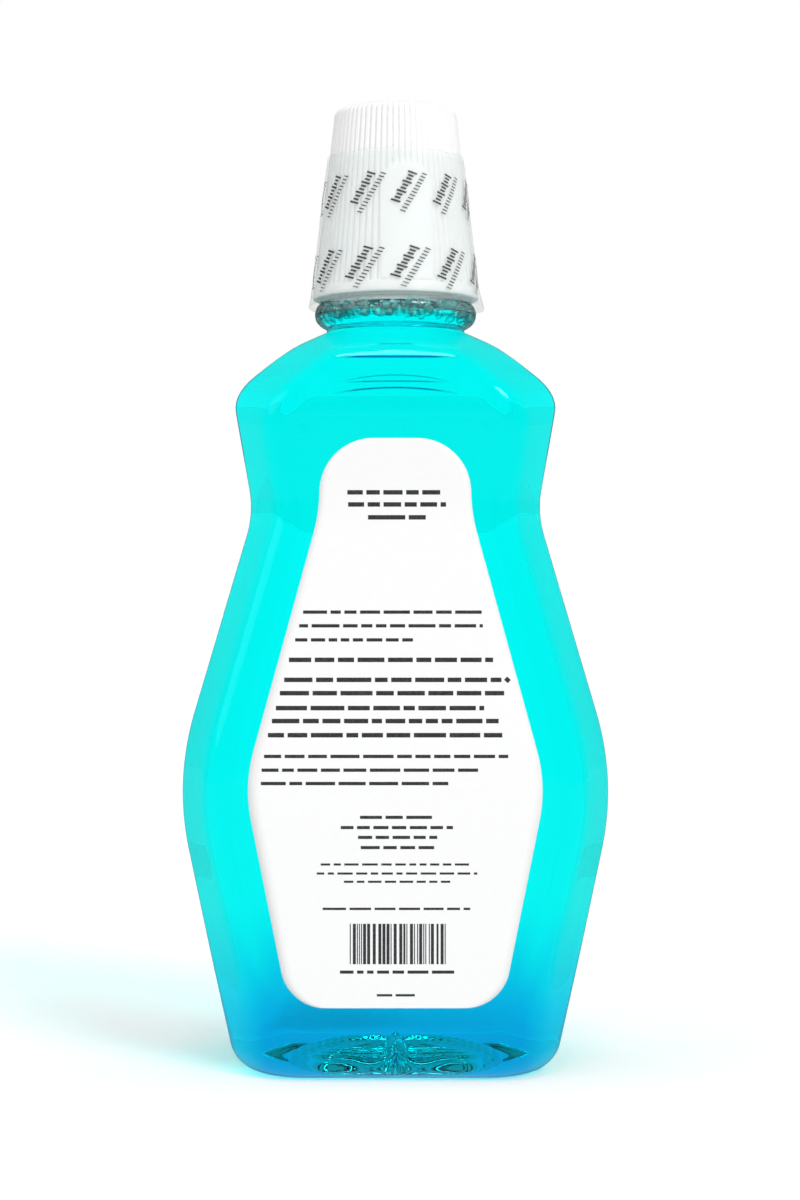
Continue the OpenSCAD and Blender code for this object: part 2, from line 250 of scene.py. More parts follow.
def bumped(tree, shader, height, strength, distance):
    feeds = {"Height": height, "Strength": strength, "Distance": distance}
    tree.links.new(addNode(tree, "ShaderNodeBump", feeds).outputs[0], shader.inputs["Normal"])


def thrownBack(tree, path):
    # 1 for light that the liquid's near face has thrown back, which passes the wall's outer face
    # twice and nothing more, else 0
    mirrored = calc(tree, "MINIMUM", path["Glossy Depth"], 1.0)
    return times(tree, mirrored, calc(tree, "LESS_THAN", path["Transmission Depth"], 2.5))


def letLampsThrough(tree, shader, tint):
    # shadow rays pass, tinted, so that light reaches what is inside and behind
    path = addNode(tree, "ShaderNodeLightPath").outputs
    clear = addNode(tree, "ShaderNodeBsdfTransparent", {"Color": (*tint, 1)})
    feeds = {0: path["Is Shadow Ray"], 1: shader.outputs[0], 2: clear.outputs[0]}
    mixed = addNode(tree, "ShaderNodeMixShader", feeds)
    tree.links.new(mixed.outputs[0], tree.nodes["Material Output"].inputs["Surface"])


finishes = {    # heights and distances in metres
    "petIor": 1.38,            # below the plastic's own, which draws the collar too dark
    "wetIor": 1.02,            # over the liquid only the wall's gloss is seen
    "liquidIor": 1.345,
    "liquidColor": (0.0, 0.9978, 0.9972),
    "liquidDensity": 900.0,    # per metre
    "clearTint": (0.97, 1.0, 0.995),
    "footShadeTint": (0.8, 0.42, 0.86),    # darker and bluer towards the foot: partly the thicker plastic there, partly painted shade
    "footShadeTintHeights": (0.012, 0.044),
    "footShadeTintAside": (0.033, 0.041),
    "footShadeTintLeft": 0.15,             # what is left of it at the sides
    "edgeShadeTint": (0.0, 0.03, 0.25),    # painted shade: dark blue where the shoulder turns away from view, and in its creases
    "edgeShadeFacing": (0.62, 0.8),
    "edgeShadeStart": (0.155, 0.162),
    "edgeShadeEnd": (0.176, 0.186),
    "edgeShadeBelow": 0.3,
}
# painted shade as dark lines along the back shoulder's creases: height, fall for x squared, half width
# and thickness in metres, and strength
creaseShadeLines = [
    (0.1774, 6.0, 0.0165, 0.00020, 1.0),
    (0.1791, 2.0, 0.0135, 0.00016, 0.9),
    (0.1807, 9.0, 0.0145, 0.00014, 0.8),
    (0.1856, 0.0, 0.0170, 0.00030, 1.0),
    (0.1892, 1.0, 0.0055, 0.00015, 0.7),
]


def creaseShadeShare(tree, spot, middle, sag, halfW, thickness, strength):
    # 1 along a bowed line of painted shade across the back shoulder, fading at its ends
    x, y, z = spot
    drop = times(tree, x, x, sag)
    off = calc(tree, "ABSOLUTE", calc(tree, "SUBTRACT", calc(tree, "ADD", z, drop), middle))
    line = ranged(tree, off, thickness * 0.5, thickness * 1.6, strength, 0.0)
    ends = ranged(tree, calc(tree, "ABSOLUTE", x), halfW * 0.6, halfW, 1.0, 0.0)
    behind = calc(tree, "LESS_THAN", y, 0.0)
    return times(tree, line, ends, behind)


def blownPlastic(name, ior, coat):
    material, tree, shader, where = newMaterial(
        name, finishes["clearTint"], 0.0, ior=ior, transmissionWeight=1.0,
        coatWeight=coat, coatRoughness=0.03, coatIor=1.5)
    spot = splitUp(tree, where)
    # painted shade, with some colour from the thicker plastic: the wall darkens and turns bluer towards the
    # foot, less at the sides
    depth = ranged(tree, spot[2], *finishes["footShadeTintHeights"], 1.0, 0.0)
    aside = calc(tree, "ABSOLUTE", spot[0])
    sides = ranged(tree, aside, *finishes["footShadeTintAside"], 1.0, finishes["footShadeTintLeft"])
    tint = blended(tree, times(tree, depth, sides), finishes["clearTint"], finishes["footShadeTint"])
    # painted shade: a dark-blue rim where the shoulder turns away from view, between the start and end
    # heights
    turnedAway = addNode(tree, "ShaderNodeLayerWeight", {"Blend": 0.5}).outputs["Facing"]
    rim = ranged(tree, turnedAway, *finishes["edgeShadeFacing"], 0.0, 1.0)
    start = ranged(tree, spot[2], *finishes["edgeShadeStart"], finishes["edgeShadeBelow"], 1.0)
    end = ranged(tree, spot[2], *finishes["edgeShadeEnd"], 1.0, 0.0)
    shadeLines = times(tree, rim, times(tree, start, end))
    # painted shade: dark lines along the back shoulder's creases
    for crease in creaseShadeLines:
        shadeLines = calc(tree, "MAXIMUM", shadeLines, creaseShadeShare(tree, spot, *crease))
    mottled(tree, shader, shadeLines, tint, finishes["edgeShadeTint"])
    soft = speckle(tree, where, 45, 2.0, (1, 1, 0.5))
    bumped(tree, shader, soft, 0.12, 0.0004)
    smudge = speckle(tree, where, 160, 4.0)
    tree.links.new(ranged(tree, smudge, 0.35, 0.75, 0.0, 0.035), shader.inputs["Roughness"])
    letLampsThrough(tree, shader, (0.97, 1.0, 1.0))
    return material


def innerFace(name):
    # the wall's inner face where it is wet, which can't be told from the liquid
    material, tree, shader, where = newMaterial(name, (0.7, 0.98, 0.97), 0.1, alpha=0.0)
    shade = speckle(tree, where, 60)
    mottled(tree, shader, shade, (0.66, 0.97, 0.96), (0.74, 0.99, 0.98))
    return material


def dyedLiquid(name):
    material, tree, shader, where = newMaterial(
        name, (1.0, 1.0, 1.0), 0.0, ior=finishes["liquidIor"], transmissionWeight=1.0)
    shader.inputs["Specular Tint"].default_value = (0.02, 1.0, 1.0, 1)
    swirl = speckle(tree, where, 28, 2.0)
    bumped(tree, shader, swirl, 0.08, 0.0006)
    letLampsThrough(tree, shader, (0.9, 1.0, 1.0))
    feeds = {"Color": (*finishes["liquidColor"], 1), "Density": finishes["liquidDensity"]}
    dye = addNode(tree, "ShaderNodeVolumeAbsorption", feeds)
    tree.links.new(dye.outputs[0], tree.nodes["Material Output"].inputs["Volume"])
    return material


def wateryDrop(name):
    material, tree, shader, where = newMaterial(
        name, (0.62, 0.98, 0.97), 0.0, ior=1.24, transmissionWeight=0.9, alpha=0.85,
        coatWeight=1.0, coatRoughness=0.05)
    ripple = speckle(tree, where, 900)
    bumped(tree, shader, ripple, 0.1, 0.0001)
    letLampsThrough(tree, shader, (0.8, 1.0, 1.0))
    return material


def mouldedWhite(name, color, roughness, grain):
    material, tree, shader, where = newMaterial(
        name, color, roughness, subsurfaceWeight=0.04, subsurfaceScale=0.0015)
    cloud = speckle(tree, where, 60, 3.0)
    darker = tuple(c * 0.97 for c in color)
    mottled(tree, shader, cloud, darker, color)
    pores = speckle(tree, where, 1400, 2.0)
    satin = ranged(tree, pores, 0.3, 0.7, roughness - 0.05, roughness + 0.08)
    tree.links.new(satin, shader.inputs["Roughness"])
    bumped(tree, shader, pores, grain, 0.00006)
    return material


def coatedPaper(name, color):
    material, tree, shader, where = newMaterial(name, color, 0.42)
    fibres = speckle(tree, where, 700, 4.0, (1, 1, 2.2))
    shade = tuple(c * 0.965 for c in color)
    mottled(tree, shader, fibres, shade, color)
    tree.links.new(ranged(tree, fibres, 0.3, 0.7, 0.36, 0.5), shader.inputs["Roughness"])
    bumped(tree, shader, fibres, 0.08, 0.00005)
    return material


def printInk(name, color):
    material, tree, shader, where = newMaterial(name, color, 0.4)
    uneven = speckle(tree, where, 1800, 3.0)
    worn = tuple(c + 0.05 for c in color)
    mottled(tree, shader, ranged(tree, uneven, 0.45, 0.8, 0.0, 1.0), color, worn)
    bumped(tree, shader, uneven, 0.06, 0.00003)
    return material


def clearSheet(name, alpha):
    # a film too thin to bend light: a little haze, and clear for the rest
    material, tree, shader, where = newMaterial(name, (0.86, 0.95, 0.92), 0.16, alpha=alpha)
    creases = speckle(tree, where, 220, 3.0, (1, 1, 0.3))
    bumped(tree, shader, creases, 0.2, 0.0003)
    mottled(tree, shader, creases, (0.8, 0.93, 0.89), (0.92, 0.97, 0.95))
    return material


def foamedRing(name):
    material, tree, shader, where = newMaterial(name, (0.82, 0.83, 0.83), 0.75)
    feeds = {"Vector": where, "Scale": 2200.0}
    cells = addNode(tree, "ShaderNodeTexVoronoi", feeds).outputs["Distance"]
    bumped(tree, shader, cells, 0.3, 0.0001)
    mottled(tree, shader, cells, (0.8, 0.81, 0.81), (0.86, 0.87, 0.87))
    return material


dryPet = blownPlastic("clearPetDry", finishes["petIor"], 0.0)
wetPet = blownPlastic("clearPetWet", finishes["wetIor"], 0.28)
wetInside = innerFace("clearPetWetInside")
liquidFinish = dyedLiquid("blueGreenLiquid")
dropFinish = wateryDrop("clearDrops")
capFinish = mouldedWhite("capWhite", (0.97, 0.97, 0.975), 0.38, 0.12)
insertFinish = mouldedWhite("insertWhite", (0.88, 0.9, 0.9), 0.48, 0.2)
paperFinish = coatedPaper("labelWhite", (0.93, 0.93, 0.93))
inkFinish = printInk("labelInk", (0.03, 0.03, 0.035))
bandInkFinish = printInk("bandInk", (0.055, 0.055, 0.055))
filmFinish = clearSheet("clearFilm", 0.16)
labelFilmFinish = clearSheet("clearLabelFilm", 0.05)
linerFinish = foamedRing("linerFoam")
print("finishes made")


# ---- the blown bottle's outline

bottleSizes = {
    "baseHalfW": 41.6, "hipHalfW": 58.1, "waistHalfW": 37.3, "shoulderHalfW": 42.8,
    "baseHalfD": 32.8, "hipHalfD": 32.4, "waistHalfD": 28.6, "shoulderHalfD": 30.2,
    "hipZ": 75.7, "waistZ": 145.9, "shoulderZ": 177.2, "rootZ": 194.2, "browW": 7.4, "browH": 3.4,
    "baseFacetW": 9.4, "hipFacetW": 7.6, "waistFacetW": 7.8, "panelTopHalfW": 33.6, "panelTopZ": 172.8,
    "panelEdgeHalfW": 16.5, "panelEdgeHalfD": 26.6, "panelEdgeZ": 187.2,
    "baseSideHalfD": 20.0, "sideHalfD": 15.0, "panelCornerR": 8.0, "sideCornerR": 5.0,
    "hipEase": 18.0, "waistEase": 6.0, "shoulderEase": 5.0, "panelEase": 6.0, "edgeEase": 1.5,
    "baseR": 7.0, "footW": 4.0, "pushUpH": 6.5, "footRoundR": 10.0, "footRoundH": 36.0,
    "wall": 0.6, "wetWall": 0.06, "liquidInset": 0.12, "fillZ": 198.4, "meniscusH": 0.5,
    "grooveR": 18.4, "rootR": 19.1, "collarR": 21.6, "beadR": 3.7, "collarZ": 199.4,
    "finishR": 15.2, "boreR": 12.9, "lipZ": 220.5, "lipR": 0.5,
    "threadUp": 4.2, "threadTurns": 1.25, "threadPitch": 4.23, "threadH": 1.1,
    "threadFootW": 2.0, "threadCrestW": 0.8,
}
b = bottleSizes
collarTopZ = b["collarZ"] + b["beadR"]
rootWidth = b["rootR"] * math.tan(math.radians(22.5))
levels = {
    "base": (0, 0), "hip": (b["hipZ"], b["hipEase"]), "waist": (b["waistZ"], b["waistEase"]),
    "shoulder": (b["shoulderZ"], b["shoulderEase"]), "panelTop": (b["panelTopZ"], b["panelEase"]),
    "panelEdge": (b["panelEdgeZ"], b["edgeEase"]), "brow": (b["rootZ"] - b["browH"], b["edgeEase"]),
    "root": (b["rootZ"], 0),
}


def knotsAt(**values):
    # height, value and easing at each named level
    return [(levels[name][0], value, levels[name][1]) for name, value in values.items()]


widthKnots = knotsAt(base=b["baseHalfW"], hip=b["hipHalfW"], waist=b["waistHalfW"],
                     shoulder=b["shoulderHalfW"], brow=b["rootR"] + b["browW"], root=b["rootR"])
depthKnots = knotsAt(base=b["baseHalfD"], hip=b["hipHalfD"], waist=b["waistHalfD"],
                     shoulder=b["shoulderHalfD"], panelEdge=b["panelEdgeHalfD"], root=b["rootR"])
panelKnots = knotsAt(base=b["baseHalfW"] - b["baseFacetW"], hip=b["hipHalfW"] - b["hipFacetW"],
                     waist=b["waistHalfW"] - b["waistFacetW"], panelTop=b["panelTopHalfW"],
                     panelEdge=b["panelEdgeHalfW"], root=rootWidth)
sideKnots = knotsAt(base=b["baseSideHalfD"], hip=b["sideHalfD"], shoulder=b["sideHalfD"], root=rootWidth)


def along(knots, z):
    # straight stretches between the knots, with each corner eased by a parabola
    slopes = [(q[1] - p[1]) / (q[0] - p[0]) for p, q in zip(knots, knots[1:])]
    value = knots[0][1] + slopes[0] * (z - knots[0][0])
    for i in range(1, len(knots) - 1):
        t = z - knots[i][0]
        ease = knots[i][2]
        ramp = 0 if t <= -ease else t if t >= ease else (t + ease) ** 2 / (4 * ease)
        value += (slopes[i] - slopes[i - 1]) * ramp
    return value


def smoothShare(t):
    t = min(max(t, 0.0), 1.0)
    return t * t * (3 - 2 * t)


def outline(z, inset):
    # the bottle's outline at a height, drawn in by inset, as points from +Y round by +X
    width, depth = along(widthKnots, z), along(depthKnots, z)
    front, side = along(panelKnots, z), along(sideKnots, z)
    turn = math.atan2(depth - side, width - front)
    turnLeft = math.pi / 2 - turn
    front -= inset * math.tan(turn / 2)
    side -= inset * math.tan(turnLeft / 2)
    width -= inset
    depth -= inset
    low = 1 - smoothShare(z / b["footRoundH"])
    frontR = max(b["panelCornerR"] + low * b["footRoundR"] - inset, 1)
    sideR = max(b["sideCornerR"] + low * b["footRoundR"] - inset, 1)
    frontX = front - frontR * math.tan(turn / 2)
    sideY = side - sideR * math.tan(turnLeft / 2)
    quarter = [(frontX * i / 10, depth) for i in range(10)]
    for i in range(9):
        a = turn * i / 8
        quarter.append((frontX + frontR * math.sin(a), depth - frontR + frontR * math.cos(a)))
    for i in range(9):
        a = turn + turnLeft * i / 8
        quarter.append((width - sideR + sideR * math.sin(a), sideY + sideR * math.cos(a)))
    quarter += [(width, sideY * i / 4) for i in (3, 2, 1, 0)]
    quarter = np.array(quarter)
    ovalFromZ = b["panelEdgeZ"] - b["edgeEase"]
    share = smoothShare((z - ovalFromZ) / (b["rootZ"] - ovalFromZ))
    angles = np.linspace(0, math.pi / 2, len(quarter))
    oval = np.stack([width * np.sin(angles), depth * np.cos(angles)], 1)
    quarter = quarter * (1 - share) + oval * share
    right = np.vstack([quarter, quarter[-2::-1] * (1, -1)])
    return np.vstack([right, right[-2:0:-1] * (-1, 1)])


ringSize = len(outline(50, 0))


def levelRing(z, inset, scale=1.0, height=None):
    flat = outline(z, inset) * scale
    return np.column_stack([flat, np.full(len(flat), z if height is None else height)])


def bodyRings(t):
    # from the middle of the hollow base out, round the foot and up to the neck's root
    rings = []
    for share in np.linspace(0.015, 1, 120 if fine else 50):
        height = t + b["pushUpH"] * (1 - share ** 3)
        rings.append(levelRing(0, b["baseR"] + b["footW"], share, height))
    radius = b["baseR"] - t
    for a in np.radians(np.linspace(0, 90, 15)):
        height = b["baseR"] - radius * math.cos(a)
        rings.append(levelRing(height, b["baseR"] - radius * math.sin(a), 1, height))
    for z in np.linspace(b["baseR"], b["rootZ"], 128 if fine else 64)[1:]:
        lean = (along(widthKnots, z - 0.2) - along(widthKnots, z - 0.4)) / 0.2
        low = z - t if z == b["rootZ"] else z
        rings.append(levelRing(low, t * math.sqrt(1 + lean * lean)))
    return rings


def collarProfile(t, topZ):
    # groove, round bead and flat top, up to topZ
    radius = b["beadR"] - t
    middle = (b["collarR"] - b["beadR"], b["collarZ"])
    stem = b["grooveR"] - t
    foot = -math.degrees(math.acos((stem - middle[0]) / radius))
    points = [(stem + 0.1, b["rootZ"] + 0.35 - t / 2), (stem, b["rootZ"] + 0.8)]
    return points + [p for p in arcPoints(middle, radius, foot + 4, 90, 22) if p[1] <= topZ]


print("outline ready,", ringSize, "points a ring")


# ---- bottle wall, with its hollow base and the neck's thread

baseSizes = {"Ring Count": 15.0, "Ring Height": 0.1 * mm, "Lobe Count": 8, "Lobe Swing": 1.5,
             "Rib Width": 1.5 * mm, "Rib Height": 1.4 * mm}


def markHollow(mesh):
    # the share of the way from the base's middle to its foot, kept on the points
    reach = outline(0, b["baseR"] + b["footW"])
    angles = np.arctan2(reach[:, 0], reach[:, 1])
    order = np.argsort(angles)
    radii = np.hypot(reach[:, 0], reach[:, 1])
    spots = pointArray(mesh) / mm
    turns = np.arctan2(spots[:, 0], spots[:, 1])
    limit = np.interp(turns, angles[order], radii[order], period=2 * math.pi)
    share = np.clip(np.hypot(spots[:, 0], spots[:, 1]) / limit, 0, 1)
    share[spots[:, 2] > b["pushUpH"] + 1.5] = 1
    markPoints(mesh, "hollowShare", share)


def fluteBase(piece, *materials):
    # fine wavy rings in the hollow base, with a narrow rib from its middle to each side
    tree, given = newTree("hollowBase", baseSizes)
    x, y = splitUp(tree, addNode(tree, "GeometryNodeInputPosition").outputs[0])[:2]
    share = readMark(tree, "hollowShare")
    fade = times(tree, share, calc(tree, "SUBTRACT", 1.0, share), 8.0)
    fade = calc(tree, "MINIMUM", fade, 1.0)
    angle = calc(tree, "ARCTAN2", x, y)
    lobe = calc(tree, "COSINE", times(tree, angle, given["Lobe Count"]))
    lobe = times(tree, lobe, given["Lobe Swing"])
    phase = times(tree, share, given["Ring Count"], 2 * math.pi)
    ring = calc(tree, "SINE", calc(tree, "ADD", phase, lobe))
    ring = times(tree, ring, given["Ring Height"])
    near = calc(tree, "MINIMUM", calc(tree, "ABSOLUTE", x), calc(tree, "ABSOLUTE", y))
    near = calc(tree, "DIVIDE", near, given["Rib Width"])
    rib = times(tree, calc(tree, "EXPONENT", times(tree, near, near, -1.0)), given["Rib Height"])
    lift = times(tree, calc(tree, "ADD", ring, rib), fade)
    offset = addNode(tree, "ShaderNodeCombineXYZ", {2: lift}).outputs[0]
    moved = addNode(tree, "GeometryNodeSetPosition", {"Geometry": given[0], "Offset": offset})
    closeTree(tree, moved.outputs[0], *materials)
    return grow(piece, tree, baseSizes)


def threadRings():
    # a ridge that winds up the neck's finish and tapers off at both ends
    wallR, footW, height = b["finishR"], b["threadFootW"], b["threadH"]
    wholeTurn = 2 * math.pi * b["threadTurns"]
    steps = int(48 * b["threadTurns"])
    rings = []
    for i in range(steps + 1):
        a = wholeTurn * i / steps
        share = min(1, a / 0.5, (wholeTurn - a) / 0.5)
        tip = max(share, 0.05) * height
        half = footW / 2 - (footW - b["threadCrestW"]) / 2 * tip / height
        z = collarTopZ + b["threadUp"] + b["threadPitch"] * a / (2 * math.pi)
        shape = [(wallR - 0.3, -footW / 2), (wallR + tip, -half),
                 (wallR + tip, half), (wallR - 0.3, footW / 2)]
        rings.append([(r * math.cos(a), r * math.sin(a), z + dz) for r, dz in shape])
    return rings


def bottleWall():
    # outside up to the lip, then down the inside; over the liquid the wall is drawn thin
    lipR = b["lipR"]
    lipZ = b["lipZ"] - lipR
    outside = collarProfile(0, collarTopZ)
    outside += [(b["finishR"] + 0.5, collarTopZ), (b["finishR"], collarTopZ + 0.5)]
    outside += [(b["finishR"], z) for z in np.linspace(collarTopZ + 3, lipZ, 6)]
    outside += arcPoints((b["finishR"] - lipR, lipZ), lipR, 20, 90, 4)
    outside += arcPoints((b["boreR"] + lipR, lipZ), lipR, 90, 180, 5)
    wetTopZ = b["fillZ"] + b["meniscusH"] + 0.05
    inside = collarProfile(b["wetWall"], wetTopZ)
    inside += [q for q in collarProfile(b["wall"], collarTopZ) if q[1] > wetTopZ + 0.05]
    inside += [(b["boreR"] + 0.4, collarTopZ - b["wall"]), (b["boreR"], collarTopZ + 0.1)]
    outerRings = bodyRings(0) + turned(outside, ringSize)
    innerRings = turned(inside[::-1], ringSize) + bodyRings(b["wetWall"])[::-1]
    mesh = ringMesh("bottleWall", outerRings + innerRings)
    finishList = (dryPet, wetPet, wetInside)
    for material in finishList:
        mesh.materials.append(material)
    outerFaces = ringSize * len(outerRings)
    for face in mesh.polygons:
        isInner = face.index >= outerFaces and len(face.vertices) == 4
        if face.center.z < wetTopZ * mm:
            face.material_index = 2 if isInner else 1
    markHollow(mesh)
    thread = ringMesh("neckThread", threadRings())
    thread.materials.append(dryPet)
    piece = fluteBase(finishObject("bottleWall", mesh), *finishList)
    mesh = joined("bottleWall", [piece.data, thread])
    bpy.data.objects.remove(piece)
    return finishObject("bottleWallPet", mesh)


def liquidBody():
    # drawn almost to the wall's outer face, as the wall itself can't be seen over it
    topZ = b["fillZ"] + b["meniscusH"]
    rings = bodyRings(b["liquidInset"]) + turned(collarProfile(b["liquidInset"], topZ), ringSize)
    edge = rings[-1][0][1]
    surface = []
    for d in (0.3, 0.8, 1.5, 2.5, 4.0):    # in from the edge, where the liquid creeps up the wall
        surface.append((edge - d, b["fillZ"] + b["meniscusH"] * math.exp(-d / 0.7)))
    surface += [(r, b["fillZ"]) for r in (14.0, 8.0, 3.0)]
    mesh = ringMesh("liquid", rings + turned(surface, ringSize))
    mesh.materials.append(liquidFinish)
    markHollow(mesh)
    return fluteBase(finishObject("blueGreenLiquidBody", mesh), liquidFinish)


place(bottleWall(), "bottle", "clear_pet", "bottle_shell")
place(liquidBody(), "bottle", "liquid", "mouthwash")


# ---- bubbles and drops in the collar, on the liquid and on the wall above it

bubbleSizes = {"Density": 800000.0, "Smallest": 0.3 * mm, "Largest": 1.5 * mm, "Size Power": 2.2,
               "Seed": 5, "Size Seed": 11}
bubbleGround = {"innerR": 17.6, "outerR": 19.6, "up": 0.3, "inset": 0.7, "from": -30, "to": 42}


def collarBubbles():
    g = bubbleGround
    surfaceZ = b["fillZ"] + g["up"]
    band = [(g["innerR"], surfaceZ), (g["outerR"], surfaceZ)]
    middle = (b["collarR"] - b["beadR"], b["collarZ"])
    band += arcPoints(middle, b["beadR"] - b["wall"] - g["inset"], g["from"], g["to"], 8)
    rings = np.array(turned(band, 72)) * mm
    count, size = rings.shape[:2]
    faces = []
    for low in range(0, (count - 1) * size, size):
        for i in range(size):
            after = (i + 1) % size
            faces.append([low + i, low + after, low + size + after, low + size + i])
    mesh = bpy.data.meshes.new("bubbleGround")
    mesh.from_pydata(rings.reshape(-1, 3).tolist(), [], faces)
    tree, given = newTree("collarBubbles", bubbleSizes)
    spots = addNode(tree, "GeometryNodeDistributePointsOnFaces",
                    {"Mesh": given[0], "Density": given["Density"], "Seed": given["Seed"]})
    share = addNode(tree, "FunctionNodeRandomValue", {2: 0.0, 3: 1.0, "Seed": given["Size Seed"]},
                    data_type="FLOAT").outputs[1]
    share = calc(tree, "POWER", share, given["Size Power"])
    spread = calc(tree, "SUBTRACT", given["Largest"], given["Smallest"])
    radius = calc(tree, "ADD", given["Smallest"], times(tree, share, spread))
    ball = addNode(tree, "GeometryNodeMeshIcoSphere", {"Radius": 1.0, "Subdivisions": 2})
    smoothBall = addNode(tree, "GeometryNodeSetShadeSmooth", {0: ball.outputs[0]})
    balls = addNode(tree, "GeometryNodeInstanceOnPoints",
                    {"Points": spots.outputs[0], "Instance": smoothBall.outputs[0], "Scale": radius})
    closeTree(tree, balls.outputs[0], dropFinish)
    return grow(finishObject("collarBubbles", mesh), tree, bubbleSizes)


place(collarBubbles(), "bottle", "liquid")


# ---- cap: a turned wall whose outside is ribbed by a tree

capSizes = {
    "rimZ": 203.4, "height": 50.6, "rimR": 22.2, "topR": 16.3, "edgeR": 1.8, "bandH": 2.8, "bandProud": 0.1,
    "end": 1.8, "wall": 1.2, "ribCount": 70, "ribH": 0.6, "ribBase": 0.6,
    "padLowZ": 205.8, "padH": 32.0, "padW": 14.0, "padTurn": 9.0, "padProud": 0.2, "padSlope": 0.35,
    "deckZ": 221.5, "deckT": 1.5, "ledgeW": 0.7, "doseZ": 20.0,
}
c = capSizes
capTopZ = c["rimZ"] + c["height"]


def capR(z):
    return c["rimR"] + (c["topR"] - c["rimR"]) * (z - c["rimZ"]) / c["height"]


def capOutside():
    # radius, height and share of the ribs' depth, from the rim up and in over the top
    edgeZ = capTopZ - c["edgeR"]
    bandTop = c["rimZ"] + c["bandH"]
    profile = [(c["rimR"] - 0.35, c["rimZ"], 0), (c["rimR"] - 0.1, c["rimZ"] + 0.1, 0),
               (c["rimR"], c["rimZ"] + 0.4, 0)]
    profile += [(capR(z) + c["bandProud"], z, 0) for z in (c["rimZ"] + 1.2, bandTop - 0.3)]
    profile += [(capR(bandTop) + 0.05, bandTop - 0.1, 0), (capR(bandTop) - c["bandProud"], bandTop, 0.3)]
    rows = np.linspace(bandTop + 0.25, edgeZ, 86 if fine else 40)
    profile += [(capR(z) - c["bandProud"], z, 1) for z in rows]
    for a in np.radians([12, 25, 40, 55, 70, 82, 90]):
        profile.append((capR(edgeZ) - c["bandProud"] - c["edgeR"] * (1 - math.cos(a)),
                        edgeZ + c["edgeR"] * math.sin(a), math.cos(a) ** 0.7))
    rimR = profile[-1][0]
    return profile + [(rimR - d, capTopZ - 0.12 * d / rimR, 0) for d in (0.5, 1.5, 3.0, 6.0, 9.0, 13.0)]


def capInside():
    # rim, seat of the insert, ledge over its deck, and the cup with its dose line
    floorZ = capTopZ - c["end"]
    ledgeZ = c["deckZ"] + c["deckT"]
    outerT = c["bandProud"] + c["ribBase"]
    seatR = capR(ledgeZ) - outerT - c["wall"]
    cupLowR = seatR - c["ledgeW"]
    cupHighR = capR(floorZ) - outerT - c["wall"]
    lineZ = floorZ - c["doseZ"]
    lineR = cupHighR + (cupLowR - cupHighR) * c["doseZ"] / (floorZ - ledgeZ)
    innerRimR = capR(c["rimZ"]) - outerT - c["wall"]
    return [(innerRimR, c["rimZ"]), (innerRimR, c["rimZ"] + 0.3), (seatR, c["deckZ"] - 1), (seatR, ledgeZ),
            (cupLowR, ledgeZ), (lineR, lineZ - 0.6), (lineR - 0.3, lineZ), (cupHighR, floorZ - 0.8),
            (cupHighR - 0.8, floorZ), (8, floorZ), (2, floorZ)]


def capWall():
    columns = c["ribCount"] * (12 if fine else 8)
    profile, inner = capOutside(), capInside()
    mesh = ringMesh("capWall", turned(inner[::-1], columns) + turned([p[:2] for p in profile], columns))
    ribShares = [0.0] * len(inner) + [p[2] for p in profile]
    padShares = [0.0] * len(inner) + [1.0 if p[2] == 1 else 0.0 for p in profile]
    for name, values in (("ribShare", ribShares), ("padShare", padShares)):
        markPoints(mesh, name, np.append(np.repeat(values, columns), [0.0, 0.0]))
    piece = finishObject("capShellWhite", mesh)

    ribSizes = {"Rib Count": c["ribCount"], "Rib Height": c["ribH"] * mm, "Pad Proud": c["padProud"] * mm,
                "Pad Width": c["padW"] * mm, "Pad Low": c["padLowZ"] * mm, "Pad Height": c["padH"] * mm,
                "Pad Turn": math.radians(c["padTurn"]), "Pad Slope": c["padSlope"] * mm}
    tree, given = newTree("gripRibs", ribSizes)
    spot = addNode(tree, "GeometryNodeInputPosition").outputs[0]
    x, y, z = splitUp(tree, spot)
    wave = calc(tree, "COSINE", times(tree, calc(tree, "ARCTAN2", x, y), given["Rib Count"]))
    crest = ranged(tree, wave, -0.8, -0.1, 1.0, 0.0, interpolation_type="SMOOTHSTEP")
    groove = times(tree, crest, readMark(tree, "ribShare"), given["Rib Height"])
    # a pad's outline: straight sides, a flat foot and a round head
    across = calc(tree, "ADD", times(tree, x, calc(tree, "COSINE", given["Pad Turn"])),
                  times(tree, y, calc(tree, "SINE", given["Pad Turn"])))
    half = times(tree, given["Pad Width"], 0.5)
    archZ = calc(tree, "SUBTRACT", calc(tree, "ADD", given["Pad Low"], given["Pad Height"]), half)
    over = calc(tree, "MAXIMUM", calc(tree, "SUBTRACT", z, archZ), 0.0)
    away = calc(tree, "SQRT", calc(tree, "ADD", times(tree, across, across), times(tree, over, over)))
    beyond = calc(tree, "MAXIMUM", calc(tree, "SUBTRACT", away, half),
                  calc(tree, "SUBTRACT", given["Pad Low"], z))
    slope = given["Pad Slope"]
    pad = ranged(tree, beyond, slope, times(tree, slope, -1.0), 0.0, 1.0, interpolation_type="SMOOTHSTEP")
    pad = times(tree, pad, readMark(tree, "padShare"))
    ribbed = times(tree, groove, calc(tree, "SUBTRACT", pad, 1.0))
    shift = calc(tree, "ADD", ribbed, times(tree, pad, given["Pad Proud"]))
    outward = addNode(tree, "ShaderNodeVectorMath", {0: spot, 1: (1.0, 1.0, 0.0)}, operation="MULTIPLY")
    outward = addNode(tree, "ShaderNodeVectorMath", {0: outward.outputs[0]}, operation="NORMALIZE")
    feeds = {0: outward.outputs[0], "Scale": shift}
    offset = addNode(tree, "ShaderNodeVectorMath", feeds, operation="SCALE").outputs[0]
    moved = addNode(tree, "GeometryNodeSetPosition", {"Geometry": given[0], "Offset": offset})
    closeTree(tree, moved.outputs[0], capFinish)
    return grow(piece, tree, ribSizes)


